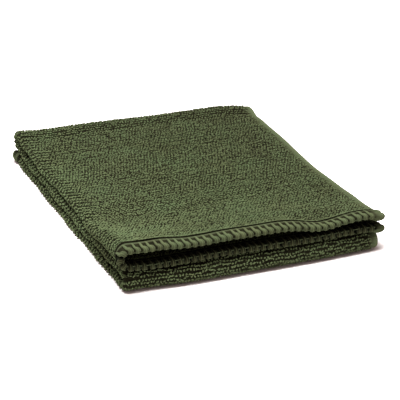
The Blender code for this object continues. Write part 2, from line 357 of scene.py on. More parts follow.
def cloth_line(row):
    """Points across one row: first layer from its selvedge, the long fold, second layer."""
    panel, y, _ = row
    right, left = right_edge(panel, y), left_edge(panel, y)
    bend = spread(panel, left, y)
    shares = (1.0 - np.arange(1, WIDTH_SPANS + 1) / WIDTH_SPANS) ** CROWDING
    inner = between(left + bend, right - SELVEDGE_STEPS[-1], shares)
    xs = np.concatenate([right - np.array(SELVEDGE_STEPS), inner])
    turns = math.pi * (np.arange(1, LONG_FOLD_SPANS) / LONG_FOLD_SPANS - 0.5)
    first = cloth_points(row, xs, -spread(panel, xs, y))
    fold = cloth_points(row, left + bend - bend * np.cos(turns), bend * np.sin(turns))
    second = cloth_points(row, xs[::-1], spread(panel, xs[::-1], y))
    return np.concatenate([first, fold, second])


def unit(vectors):
    return vectors / np.maximum(np.linalg.norm(vectors, axis=-1, keepdims=True), 1e-12)


def normals_of(grid):
    """Unit normals of a grid of points, from its neighbours. They point out of the folding."""
    return unit(np.cross(np.gradient(grid, axis=0), np.gradient(grid, axis=1)))


def run_lengths(grid, axis):
    """Distance of each point of a grid along its rows or columns, from the first."""
    steps = np.linalg.norm(np.diff(grid, axis=axis), axis=2)
    return np.insert(np.cumsum(steps, axis=axis), 0, 0.0, axis=axis)


ROWS = cloth_rows()
middle = np.array([cloth_line(row) for row in ROWS])
row_count, line_count = middle.shape[:2]
half_line = (line_count - 1) // 2
panel_of = np.array([row[0] for row in ROWS])
y_of = np.array([row[1] for row in ROWS])
turn_of = np.array([np.nan if row[2] is None else row[2] for row in ROWS])
in_fold = ~np.isnan(turn_of)

# Distances in the flat cloth: from the long fold, and from the nearest selvedge and hem
girth = run_lengths(middle, 1)
from_fold = girth - girth[:, half_line : half_line + 1]
from_selvedge = np.minimum(girth, girth[:, -1:] - girth)
hem_rows = np.array([1.0 if fold else hem_distance(*row[:2]) for row, fold in zip(ROWS, in_fold)])
from_hem = np.broadcast_to(hem_rows[:, None], girth.shape)


def soft_patch(patch, places):
    """1 in the middle of a long patch, easing to 0 at its edge, at places seen from above."""
    turn = math.radians(patch["turn"])
    away = places - (patch["x"], patch["y"])
    lengthwise = away @ (math.cos(turn), math.sin(turn)) / (patch["length"] / 2)
    crosswise = away @ (-math.sin(turn), math.cos(turn)) / (patch["width"] / 2)
    return 1.0 - ease(np.hypot(lengthwise, crosswise))


# The top panel's ridges and troughs lie in its upper layer, and fade at its long fold and hem
creased = sum(crease["height"] * soft_patch(crease, middle[:, :, :2]) for crease in CREASES)
upper = (panel_of == TOP)[:, None] & ~in_fold[:, None] & (from_fold > 0)
creased *= upper * ease(from_fold / CREASE_FROM_FOLD) * ease(from_hem / CREASE_FROM_HEM)
middle[:, :, 2] += creased
out = normals_of(middle)

# The folding is moved over the origin until its box is the solid's
SOLID_SEAM_HALF_WIDTH = 0.003
full = np.where(from_hem < HEM_DEPTH - SOLID_SEAM_HALF_WIDTH, HEM, TERRY)[:, :, None] / 2
skin = np.concatenate([middle + full * out, middle - full * out]).reshape(-1, 3)
solid_low, solid_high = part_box("towel")
shift = (np.array(solid_low + solid_high) - skin.min(0) - skin.max(0)) / 2
middle[:, :, :2] += shift[:2]

# Pile covers the outer face where it shows, and the inner face inside the mouth. There the
# woven ground lies deeper, so that the loops stand just proud of the solid. It starts past the
# selvedges and the hems.
PILE_ROOT = 0.0017
PILE_FROM_SEAM = 0.0024
PILE_START = 0.0015
RIM = 0.024
FRONT_FOLD_PILE = 0.035
BACK_FOLD_PILE = 0.020
BOTTOM_PILE = 0.004
MOUTH_PILE = 0.050
front_of_run = y_of - FRONT_RUN
back_of_run = BACK_RUN - y_of
first_layer, second_layer = from_fold < RIM, from_fold > -RIM
shown = np.abs(from_fold) < RIM
shown |= (panel_of == TOP)[:, None] & second_layer & ~in_fold[:, None]
shown |= ((panel_of == BOTTOM) & in_fold)[:, None] & first_layer
shown |= ((panel_of == MIDDLE) & in_fold)[:, None] & second_layer
shown |= ((panel_of == MIDDLE) & (front_of_run < FRONT_FOLD_PILE))[:, None] & first_layer
shown |= ((panel_of == MIDDLE) & (back_of_run < BACK_FOLD_PILE))[:, None] & second_layer
shown |= ((panel_of == BOTTOM) & (front_of_run < BOTTOM_PILE))[:, None] & first_layer
inside = (panel_of == TOP)[:, None] & (from_hem < MOUTH_PILE) & ~in_fold[:, None]
with_pile = ease((from_selvedge - SELVEDGE_WIDTH) / PILE_START + 0.5)
with_pile = with_pile * ease((from_hem - HEM_DEPTH - PILE_FROM_SEAM) / PILE_START + 0.5)
outer_cover, inner_cover = shown * with_pile, inside * with_pile

# The rolled hem from its edge to its seam, and the share of a thickness left at a cut edge
HEM_PROFILE = (
    {"from_edge": 0.0, "thickness": HEM_CORE},
    {"from_edge": STITCH_DEPTH, "thickness": HEM_CORE},
    {"from_edge": STITCH_DEPTH + 0.0016, "thickness": HEM_ROLL},
    {"from_edge": SEAM_AT - 0.0040, "thickness": 0.88 * HEM_ROLL},
    {"from_edge": SEAM_AT - 0.0018, "thickness": 0.64 * HEM_ROLL},
    {"from_edge": SEAM_AT, "thickness": SEAM_THICKNESS},
)
EDGE_SHARE = 0.25


def layer_halves():
    """Distances of the outer and of the inner face from the cloth's mid-surface."""
    terry = between(SELVEDGE, TERRY, ease(from_selvedge / SELVEDGE_WIDTH)) / 2
    places = [step["from_edge"] for step in HEM_PROFILE]
    sizes = [step["thickness"] for step in HEM_PROFILE]
    hem = np.interp(from_hem, places, sizes) / 2
    in_hem = 1.0 - ease((from_hem - SEAM_AT) / SEAM_HALF_WIDTH)
    rounds = 1.0
    for distance in (from_hem, from_selvedge):
        inward = np.clip(distance / EDGE_ROUND, 0.0, 1.0)
        rounding = between(EDGE_SHARE, 1.0, np.sqrt(1.0 - (1.0 - inward) ** 2))
        rounds = np.minimum(rounds, rounding)
    for cover in (outer_cover, inner_cover):
        yield rounds * between(terry - PILE_ROOT * cover, hem, in_hem)


outer_half, inner_half = layer_halves()
outer_face = middle + out * outer_half[:, :, None]
inner_face = middle - out * inner_half[:, :, None]

# Distances along the flat cloth from the bottom hem, measured in each fold on the layer that
# lies outside
quarter = half_line // 2
steps_along = np.linalg.norm(np.diff(outer_face, axis=0), axis=2)[:, [quarter, -quarter - 1]]
along = np.insert(np.cumsum(steps_along.max(1)), 0, 0.0)


def grid_quads(rows, columns, first=0):
    """Four corners of each cell of a grid of points."""
    corner = first + np.arange(rows * columns).reshape(rows, columns)
    cells = (corner[:-1, :-1], corner[1:, :-1], corner[1:, 1:], corner[:-1, 1:])
    return np.stack(cells, -1).reshape(-1, 4)


def rim_quads(line, other):
    """Faces between two lines of points of the same length."""
    return np.stack([line[:-1], line[1:], other[1:], other[:-1]], -1)


def make_mesh(name, points, quads, material, **values):
    """A new object from points and faces, with a value at each point for the material to read."""
    data = bpy.data.meshes.new(name)
    data.from_pydata(points, [], quads)
    for key, numbers in values.items():
        data.attributes.new(key, "FLOAT", "POINT").data.foreach_set("value", numbers)
    data.materials.append(material)
    data.shade_smooth()
    piece = bpy.data.objects.new(name, data)
    bpy.context.scene.collection.objects.link(piece)
    return piece


def new_group(name, inputs, outputs):
    """An empty node group with named sockets: {name: (kind, default)}."""
    group = bpy.data.node_groups.new(name, "ShaderNodeTree")
    for key, (kind, default) in inputs.items():
        socket = group.interface.new_socket(key, in_out="INPUT", socket_type=f"NodeSocket{kind}")
        socket.default_value = default
    for key, kind in outputs.items():
        group.interface.new_socket(key, in_out="OUTPUT", socket_type=f"NodeSocket{kind}")
    return group, group.nodes.new("NodeGroupInput"), group.nodes.new("NodeGroupOutput")


def add_node(tree, kind, settings=None, **inputs):
    """A node with its settings, and with its inputs set or linked by socket name."""
    node = tree.nodes.new(f"ShaderNode{kind}")
    for key, value in (settings or {}).items():
        setattr(node, key, value)
    for key, value in inputs.items():
        socket = node.inputs[int(key[1:]) if key[1:].isdigit() else key.replace("_", " ")]
        if isinstance(value, bpy.types.NodeSocket):
            tree.links.new(value, socket)
        else:
            socket.default_value = value
    return node


# How fine the dye's soft patches and flecks and the cotton's fibres are, and what the dye is
# multiplied by where it's darkest, which turns painted shade towards brown
PATCHES = 22.0
FLECKS = 260.0
FIBRES = 1500.0
SHADE_WARMTH = (1.22, 0.95, 0.95, 1.0)


def dyed_and_shaded_cotton():
    """Node group: the colour of dyed cotton in soft patches, paler or darker by its shade value,
    which carries painted shade, and the fine relief of its fibres.
    """
    sockets = {
        "Dye": ("Color", (0.1, 0.1, 0.1, 1.0)),
        "Patchiness": ("Float", 0.2),
        "Shade": ("Float", 0.0),
    }
    group, given, made = new_group("dyed_and_shaded_cotton", sockets, {"Color": "Color", "Fibres": "Float"})
    place = add_node(group, "TexCoord").outputs["Object"]
    patches = add_node(group, "TexNoise", Vector=place, Scale=PATCHES, Detail=3.0, Roughness=0.55)
    flecks = add_node(group, "TexNoise", Vector=place, Scale=FLECKS, Detail=2.0, Roughness=0.6)
    fibres = add_node(group, "TexNoise", Vector=place, Scale=FIBRES, Detail=2.0, Roughness=0.7)
    scaled = {"operation": "MULTIPLY_ADD"}
    patch = add_node(group, "Math", scaled, _0=patches.outputs["Fac"], _1=1.3, _2=-0.65)
    fleck = add_node(group, "Math", scaled, _0=flecks.outputs["Fac"], _1=0.9, _2=-0.45)
    mottle = add_node(group, "Math", {"operation": "ADD"}, _0=patch.outputs[0], _1=fleck.outputs[0])
    spread_out = add_node(
        group, "Math", scaled,
        _0=mottle.outputs[0], _1=given.outputs["Patchiness"], _2=given.outputs["Shade"],
    )
    value = add_node(group, "Math", {"operation": "ADD"}, _0=spread_out.outputs[0], _1=1.0)
    hue = add_node(group, "Math", scaled, _0=patch.outputs[0], _1=0.06, _2=0.5)
    darkness = add_node(group, "Math", scaled, _0=given.outputs["Shade"], _1=-1.0, _2=0.0)
    warmed = add_node(
        group, "Mix", {"data_type": "RGBA", "blend_type": "MULTIPLY"},
        _0=darkness.outputs[0], _6=given.outputs["Dye"], _7=SHADE_WARMTH,
    )
    tone = add_node(
        group, "HueSaturation",
        Hue=hue.outputs[0], Value=value.outputs[0], Color=warmed.outputs[2],
    )
    group.links.new(tone.outputs["Color"], made.inputs["Color"])
    group.links.new(fibres.outputs["Fac"], made.inputs["Fibres"])
    return group


cotton = dyed_and_shaded_cotton()

# The fuzz on the yarn catches a soft light
SHEEN_ROUGHNESS = 0.45
SHEEN_TINT = (0.62, 0.72, 0.42, 1.0)


def cotton_material(name, dye, patchiness, roughness, sheen, fibre_height):
    """A matt cotton material; returns it with its tree, its cotton node and its bump node."""
    material = bpy.data.materials.new(name)
    material.use_nodes = True
    tree = material.node_tree
    shader = tree.nodes["Principled BSDF"]
    shader.inputs["Roughness"].default_value = roughness
    shader.inputs["Specular IOR Level"].default_value = 0.0
    shader.inputs["Sheen Weight"].default_value = sheen
    shader.inputs["Sheen Roughness"].default_value = SHEEN_ROUGHNESS
    shader.inputs["Sheen Tint"].default_value = SHEEN_TINT
    dyed = add_node(tree, "Group", {"node_tree": cotton}, Dye=dye, Patchiness=patchiness)
    relief = add_node(
        tree, "Bump", Strength=1.0, Distance=fibre_height, Height=dyed.outputs["Fibres"]
    )
    tree.links.new(dyed.outputs["Color"], shader.inputs["Base Color"])
    tree.links.new(relief.outputs["Normal"], shader.inputs["Normal"])
    return material, tree, dyed, relief


# The bare ground is plainly woven. Out of sight, underneath and between the layers, the pile is
# a relief of knobs in this material, each painted paler in its middle, with painted shade between.
GROUND_DYE = (0.044, 0.055, 0.028, 1.0)
WEAVE = 240.0
WEAVE_HEIGHT = 0.0003
KNOBS = 235.0
KNOB_HEIGHT = 0.0020
# Painted light and shade on each knob: paler in its middle, darker towards its edge
KNOB_SHADE = 0.45
KNOB_SHADE_FALL = -1.5
ground, ground_tree, ground_cotton, ground_relief = cotton_material(
    "woven_ground", GROUND_DYE, patchiness=0.25, roughness=0.95, sheen=0.06, fibre_height=0.0004
)
ground_shade = add_node(ground_tree, "Attribute", {"attribute_name": "shade"})
knobbly = add_node(ground_tree, "Attribute", {"attribute_name": "knobbly"})
ground_place = add_node(ground_tree, "TexCoord").outputs["Object"]
knobs = add_node(ground_tree, "TexVoronoi", Vector=ground_place, Scale=KNOBS, Randomness=0.7)
knob_shade = add_node(
    ground_tree, "Math", {"operation": "MULTIPLY_ADD"},
    _0=knobs.outputs["Distance"], _1=KNOB_SHADE_FALL, _2=KNOB_SHADE,
)
shaded = add_node(
    ground_tree, "Math", {"operation": "MULTIPLY_ADD"},
    _0=knob_shade.outputs[0], _1=knobbly.outputs["Fac"], _2=ground_shade.outputs["Fac"],
)
ground_tree.links.new(shaded.outputs[0], ground_cotton.inputs["Shade"])
weave = add_node(
    ground_tree, "TexWave", {"bands_direction": "Y"},
    Vector=ground_place, Scale=WEAVE, Distortion=0.5, Detail=1.0,
)
woven_relief = add_node(
    ground_tree, "Bump",
    Strength=0.6, Distance=WEAVE_HEIGHT, Height=weave.outputs["Fac"],
    Normal=ground_relief.outputs["Normal"],
)
knob_relief = add_node(
    ground_tree, "Bump", {"invert": True},
    Strength=knobbly.outputs["Fac"], Distance=KNOB_HEIGHT, Height=knobs.outputs["Distance"],
    Normal=woven_relief.outputs["Normal"],
)
ground_tree.links.new(
    knob_relief.outputs["Normal"], ground_tree.nodes["Principled BSDF"].inputs["Normal"]
)

# Painted shade darkens the ground between the roots of the pile, in the seam's groove, under the
# stitches and in the mouth, and the selvedges are paler
PIT_SHADE = -0.85
SEAM_SHADE = -0.95
SEAM_SHADE_AT = SEAM_AT + 0.0010
SEAM_SHADE_HALF_WIDTH = 0.0022
SEAM_SHADE_FADE = 0.0010
STITCHED_SHADE = -0.80
STITCHED_FADE = 0.0042
STITCHED_FROM_SELVEDGE = 0.0105
SELVEDGE_SHADE = 0.45
SELVEDGE_FADE = 0.003
MOUTH_SHADE = -0.66
MOUTH_FADE = 0.010
in_seam = (abs(from_hem - SEAM_SHADE_AT) - SEAM_SHADE_HALF_WIDTH) / SEAM_SHADE_FADE
in_seam = 1.0 - ease(in_seam)
stitched = 1.0 - ease((from_hem - STITCH_DEPTH) / STITCHED_FADE)
stitched = stitched * ease((from_selvedge - STITCHED_FROM_SELVEDGE) / SELVEDGE_FADE)
in_mouth = (panel_of == TOP)[:, None] & (from_hem < SEAM_AT)
in_mouth = in_mouth * ease((MOUTH_FADE - from_fold) / MOUTH_FADE)
on_selvedge = 1.0 - ease((from_selvedge - 0.8 * SELVEDGE_WIDTH) / SELVEDGE_FADE)
in_stitching = np.minimum(SEAM_SHADE * in_seam, STITCHED_SHADE * stitched)
ground_shades = [
    np.minimum(PIT_SHADE * cover, in_stitching)
    + SELVEDGE_SHADE * on_selvedge
    + MOUTH_SHADE * in_mouth
    for cover in (outer_cover, inner_cover)
]

# The outer and inner faces are joined along the hems' edges and the selvedges
back_start = row_count * line_count
faces = [
    grid_quads(row_count, line_count),
    grid_quads(row_count, line_count, back_start)[:, ::-1],
]
places = np.arange(back_start).reshape(row_count, line_count)
rims = ((places[0], False), (places[-1], True), (places[:, 0], True), (places[:, -1], False))
for line, flipped in rims:
    rim = rim_quads(line, line + back_start)
    faces.append(rim[:, ::-1] if flipped else rim)
cloth = make_mesh(
    "terry_cloth",
    np.concatenate([outer_face.reshape(-1, 3), inner_face.reshape(-1, 3)]),
    np.concatenate(faces),
    ground,
    shade=np.ravel(ground_shades),
    knobbly=np.ravel([with_pile * (1.0 - cover) for cover in (outer_cover, inner_cover)]),
)
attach(cloth, "root")
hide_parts("towel")


# --- The pile -------------------------------------------------------------------------------
# Uncut loops of soft cotton yarn, woven in rows across the towel on both faces, two loops to a
# tuft. They stand close together and lean every way after washing, with dark pits between them.
ROW_PITCH = 0.0045
TUFT_PITCH = 0.0043
TUFT_STRAY = 0.07 * TUFT_PITCH
TUFT_SPREAD = 0.0005
LOOP_HEIGHT = 0.0022
LOOP_REACH = 0.00105
LOOP_TURN = math.radians(118)
LOOP_TWIST = 0.0005
LOOP_LEAN = 0.0007
LOOP_SUNK = 0.0003
YARN_RADIUS = 0.00078
YARN_FOOT = 0.72

# How unlike each other the loops are: the turn of each from its row, its size, its height, and
# how much darker some tufts look
LOOP_YAW = math.radians(90)
LOOP_YAW_SPREAD = math.radians(55)
LOOP_SIZES = (0.85, 1.18)
LOOP_HEIGHTS = (0.72, 1.25)
TUFT_SHADE = 0.22

# Points along a loop and round its yarn, and the most loops in one mesh
LOOP_RINGS = 4
YARN_SIDES = 4
MOST_LOOPS = 6600

# No yarn reaches below this height, so that none sinks into the surface under the towel
LOWEST_YARN = 0.0001

# After washing the rows stray a little to either side, over a few tufts at a time
ROW_STRAY = 0.0008
ROW_BEND = 0.0085

# On the long folds the rows part into ribs, two to a rib, and the loops stand longer
RIB_REACH = 0.024
RIB_SHIFT = 0.0012
RIB_SHIFTS = (0.75, 1.15)
RIB_HEIGHT = 0.45

# The pile is paler towards the front left and darker towards the back right
TONE_ALONG = -0.14
TONE_ACROSS = -0.17

# Soft patches where the pile looks paler or darker, and a crease, and by how much the shade differs
# in each
TONE_SPOTS = (
    {"x": -0.010, "y": -0.180, "length": 0.380, "width": 0.140, "turn": 0, "shade": -0.12},
    {"x": -0.118, "y": -0.096, "length": 0.044, "width": 0.040, "turn": 0, "shade": -0.16},
    {"x": 0.010, "y": 0.115, "length": 0.052, "width": 0.080, "turn": 20, "shade": -0.14},
    {"x": 0.121, "y": 0.047, "length": 0.052, "width": 0.060, "turn": 0, "shade": -0.16},
    {"x": 0.128, "y": 0.173, "length": 0.080, "width": 0.100, "turn": 0, "shade": -0.12},
    {"x": -0.056, "y": -0.180, "length": 0.060, "width": 0.048, "turn": 0, "shade": -0.12},
    {"x": -0.182, "y": -0.170, "length": 0.068, "width": 0.180, "turn": 0, "shade": -0.40},
    {"x": -0.129, "y": -0.053, "length": 0.052, "width": 0.060, "turn": 0, "shade": 0.14},
    {"x": -0.144, "y": 0.100, "length": 0.048, "width": 0.090, "turn": 0, "shade": 0.12},
    {"x": 0.053, "y": -0.076, "length": 0.064, "width": 0.060, "turn": 0, "shade": 0.12},
    {"x": 0.085, "y": -0.159, "length": 0.060, "width": 0.052, "turn": 0, "shade": 0.14},
    # A narrow crease, as a painted shadow in its groove
    {"x": 0.121, "y": -0.142, "length": 0.044, "width": 0.006, "turn": -26, "shade": -0.60},
)

# The loops are painted from the colour of shade deep in the pile at their feet to the dye at their
# tips
PILE_DYE = (0.0820, 0.1080, 0.0500, 1.0)
FOOT_SHADOW_COLOUR = (0.0110, 0.0120, 0.0050, 1.0)
pile, pile_tree, pile_cotton, _ = cotton_material(
    "terry_pile", PILE_DYE, patchiness=0.3, roughness=0.93, sheen=0.15, fibre_height=0.0003
)
tip = add_node(pile_tree, "Attribute", {"attribute_name": "tip"})
own_shade = add_node(pile_tree, "Attribute", {"attribute_name": "shade"})
depth = add_node(
    pile_tree, "Mix", {"data_type": "RGBA"}, _0=tip.outputs["Fac"], _6=FOOT_SHADOW_COLOUR, _7=PILE_DYE
)
pile_tree.links.new(depth.outputs[2], pile_cotton.inputs["Dye"])
pile_tree.links.new(own_shade.outputs["Fac"], pile_cotton.inputs["Shade"])


def line_lengths(line):
    """Distance of each point of a line from its first."""
    return run_lengths(line[None], 1)[0]


def pile_spots(face, cover, chance):
    """Loop by loop over a covered face, in rows of two-loop tufts, each row half a tuft on from
    the last: the points, the normals, the ways along the row, how far the row is drawn into a rib
    (-1 or 1 on the long fold), and how far it strays from a straight line."""
    found = []
    facing = normals_of(face)
    for row, place in enumerate(np.arange(along[0], along[-1], ROW_PITCH)):
        at_row = np.interp(place, along, np.arange(len(along)))
        low = min(int(at_row), len(along) - 2)
        line, lean, covered, distance = (
            between(values[low], values[low + 1], at_row - low)
            for values in (face, facing, cover, from_fold)
        )
        lengths = line_lengths(line)
        tufts = np.arange((0.25 + 0.5 * (row % 2)) * TUFT_PITCH, lengths[-1], TUFT_PITCH)
        tufts = tufts + chance.normal(0.0, TUFT_STRAY, len(tufts))
        pairs = TUFT_SPREAD * chance.normal((-1.0, 1.0), 0.25, (len(tufts), 2))
        spots = (tufts[:, None] + pairs).ravel()
        spots = spots[np.interp(spots, lengths, covered) > 0.5]
        from_rib = abs(np.interp(spots, lengths, distance)) - 0.3 * RIB_REACH
        drawn = 1.0 - ease(from_rib / RIB_REACH)
        bends = np.arange(0.0, lengths[-1] + ROW_BEND, ROW_BEND)
        strays = np.interp(spots, bends, chance.normal(0.0, ROW_STRAY, len(bends)))
        drawn = drawn * (-1) ** row * chance.uniform(*RIB_SHIFTS)
        values = np.concatenate([line, lean, np.gradient(line, axis=0)], 1)
        values = np.stack([np.interp(spots, lengths, column) for column in values.T], 1)
        found.append(np.column_stack([values, drawn, strays]))
    found = np.concatenate(found)
    return found[:, :3], unit(found[:, 3:6]), unit(found[:, 6:9]), found[:, 9], found[:, 10]


def tubes(lines, radii, sideways):
    """Closed tubes along many lines of points at once: their points and faces."""
    count, rings = lines.shape[:2]
    sides = YARN_SIDES
    forward = unit(np.gradient(lines, axis=1))
    first = unit(sideways - (sideways * forward).sum(-1, keepdims=True) * forward)
    second = np.cross(forward, first)
    turns = 2 * math.pi * (np.arange(sides) + 0.5) / sides
    ring = np.cos(turns)[:, None] * first[:, :, None] + np.sin(turns)[:, None] * second[:, :, None]
    points = lines[:, :, None] + ring * radii[..., None, None]
    cell = np.arange(rings * sides).reshape(rings, sides)
    after = np.roll(cell, -1, axis=1)
    walls = np.stack([cell[:-1], after[:-1], after[1:], cell[1:]], -1).reshape(-1, 4)
    quads = np.concatenate([walls, [cell[0, ::-1], cell[-1]]])
    starts = np.arange(count)[:, None, None] * rings * sides
    return points.reshape(-1, 3), (quads[None] + starts).reshape(-1, 4)


def pile_tone(spots):
    """How much paler or darker the pile looks at each spot, over the towel and in soft patches."""
    shade = TONE_ALONG * 2 * spots[:, 1] / FOLDED_DEPTH
    shade = shade + TONE_ACROSS * 2 * spots[:, 0] / FOLDED_WIDTH
    for patch in TONE_SPOTS:
        shade = shade + patch["shade"] * soft_patch(patch, spots[:, :2])
    return shade


def grow_pile(name, face, cover, facing_out, seed):
    """Loops over the covered part of a face, in meshes of a size that stays easy to handle."""
    chance = np.random.default_rng(seed)
    spots, normal, way, drawn, strays = pile_spots(face, cover, chance)
    normal = normal * (1.0 if facing_out else -1.0)
    count = len(spots)
    yaw = chance.normal(LOOP_YAW, LOOP_YAW_SPREAD, count)[:, None]
    down = np.cross(normal, way)
    spots = spots - (RIB_SHIFT * drawn + strays * (1.0 - abs(drawn)))[:, None] * down
    wide = np.cos(yaw) * way + np.sin(yaw) * down
    thick = np.cross(normal, wide)
    size = chance.uniform(*LOOP_SIZES, count)[:, None]
    tall = (chance.uniform(*LOOP_HEIGHTS, count) * (1.0 + RIB_HEIGHT * abs(drawn)))[:, None]
    lean = chance.normal(0.0, LOOP_LEAN, (2, count))[..., None]
    lean = lean[0] * way + lean[1] * down
    turns = np.linspace(-LOOP_TURN, LOOP_TURN, LOOP_RINGS)
    rise = (np.cos(turns) - math.cos(LOOP_TURN)) / (1.0 - math.cos(LOOP_TURN))
    reach = LOOP_REACH * size * np.sin(turns)
    twist = chance.choice([-1.0, 1.0], count)[:, None] * LOOP_TWIST * np.sin(turns)
    height = (LOOP_HEIGHT - YARN_RADIUS) * tall * rise - LOOP_SUNK
    lines = spots[:, None] + reach[..., None] * wide[:, None] + twist[..., None] * thick[:, None]
    lines = lines + height[..., None] * normal[:, None] + rise[:, None] ** 1.5 * lean[:, None]
    radii = YARN_RADIUS * size * between(YARN_FOOT, 1.0, rise)
    shade = TUFT_SHADE * (1.0 - chance.exponential(1.0, count)) + pile_tone(spots)
    pieces = []
    for part, first in enumerate(range(0, count, MOST_LOOPS)):
        some = slice(first, first + MOST_LOOPS)
        sideways = np.broadcast_to(thick[some, None], lines[some].shape)
        points, quads = tubes(lines[some], radii[some], sideways)
        points[:, 2] = np.maximum(points[:, 2], LOWEST_YARN)
        # How far up its loop each point is, which sets its painted shade at the feet
        tips = np.tile(np.repeat(rise**1.3, YARN_SIDES), len(lines[some]))
        shades = np.repeat(shade[some], LOOP_RINGS * YARN_SIDES)
        piece = make_mesh(f"{name}_{part + 1}", points, quads, pile, tip=tips, shade=shades)
        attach(piece, "root")
        pieces.append(piece)
    return pieces


cloth_pieces = grow_pile("outer_pile", outer_face, outer_cover, facing_out=True, seed=11)
cloth_pieces += grow_pile("mouth_pile", inner_face, inner_cover, facing_out=False, seed=12)


# --- The overcast hems ----------------------------------------------------------------------
# Each end of the towel is rolled into a thick hem, stitched down in a narrow groove and then
# overcast: bundles of soft yarn go over the edge side by side, with a small purl along it. The
# hem's two rounded ends stay bare.
CORE_RADIUS = HEM_CORE / 2
NUB_LENGTH = 0.0125
STITCH_PITCH = 0.0093
STITCH_STRAY = 0.0006
STITCH_SIZES = (0.90, 1.07)
STITCH_HALF_WIDTH = 0.0040
STITCH_PLUMPNESS = 0.0018
STITCH_SUNK = 0.0010
STITCH_LIFT = 0.0008
STITCH_SLANT = 0.0040
STITCH_THREADS = 3
THREAD_RELIEF = 0.00025

# The share of the width that a bundle has on the hem's faces, and of the slant underneath
STITCH_WAIST = 0.60
SLANT_BELOW = 0.3

# Where a bundle comes out of the hem: its distance from the edge, how far it stands off the
# rolled core, and its shares of the full width and slant
STITCH_ROOT = (
    {"from_edge": 0.0136, "lift": 0.0003, "width": 0.22, "slant": 1.7},
    {"from_edge": 0.0116, "lift": 0.0011, "width": 0.33, "slant": 1.5},
    {"from_edge": 0.0086, "lift": 0.0012, "width": 0.44, "slant": 1.25},
    {"from_edge": 0.0056, "lift": 0.0009, "width": 0.54, "slant": 1.05},
)
STITCH_TURNS = 9

STITCH_DYE = (0.0400, 0.0495, 0.0240, 1.0)
stitch_yarn, stitch_tree, stitch_cotton, _ = cotton_material(
    "overcast_yarn", STITCH_DYE, patchiness=0.25, roughness=0.85, sheen=0.10, fibre_height=0.0003
)
stitch_shade = add_node(stitch_tree, "Attribute", {"attribute_name": "shade"})
stitch_tree.links.new(stitch_shade.outputs["Fac"], stitch_cotton.inputs["Shade"])

# A bundle has painted shade between its threads and at its sides, painted highlights on its
# threads, and is painted paler on top of the hem and darker underneath
THREAD_SHADES = (-0.75, 0.30, -0.30, 0.60, -0.25, 0.15, -0.75)
LIGHT_FROM_ABOVE = 0.32
STITCH_SHADE_SPREAD = 0.07


def hem_line(end, distance):
    """The line of the mid-surface, and its normals, at a distance from a hem's edge."""
    rows = slice(0, len(HEM_STEPS)) if end == BOTTOM else slice(-1, -len(HEM_STEPS) - 1, -1)
    row = np.interp(distance, HEM_STEPS, np.arange(len(HEM_STEPS)))
    low = min(int(row), len(HEM_STEPS) - 2)
    return [between(grid[rows][low], grid[rows][low + 1], row - low) for grid in (middle, out)]


def edge_line(end):
    return hem_line(end, 0.0)[0]


def hem_length(end):
    return line_lengths(edge_line(end))[-1]


def hem_spots(end, places):
    """Reads a line at given distances along the hem's edge, from the first selvedge."""
    lengths = line_lengths(edge_line(end))

    def read(values):
        return np.stack([np.interp(places, lengths, values[:, axis]) for axis in range(3)], 1)

    return read


def around_hem(end, places, roots, turns, radius, slant=0.0):
    """Lines round the hem's edge at given places: points, and the way out of the hem at each."""
    points, ways = [], []
    for side, steps in ((1.0, roots), (0.0, turns), (-1.0, roots[::-1])):
        for step in steps:
            lean = side * step["slant"] if side else (1.0 - math.sin(step)) * math.cos(step)
            read = hem_spots(end, places - slant * max(lean, SLANT_BELOW * lean))
            line, normal = hem_line(end, step["from_edge"] if side else CORE_RADIUS)
            line, normal = read(line), unit(read(normal))
            if side:
                way = normal * side
                rise = CORE_RADIUS + step["lift"]
            else:
                outward = unit(read(edge_line(end)) - line)
                way = math.cos(step) * normal + math.sin(step) * outward
                rise = radius
            points.append(line + way * rise)
            ways.append(way)
    return np.stack(points, 1), np.stack(ways, 1)


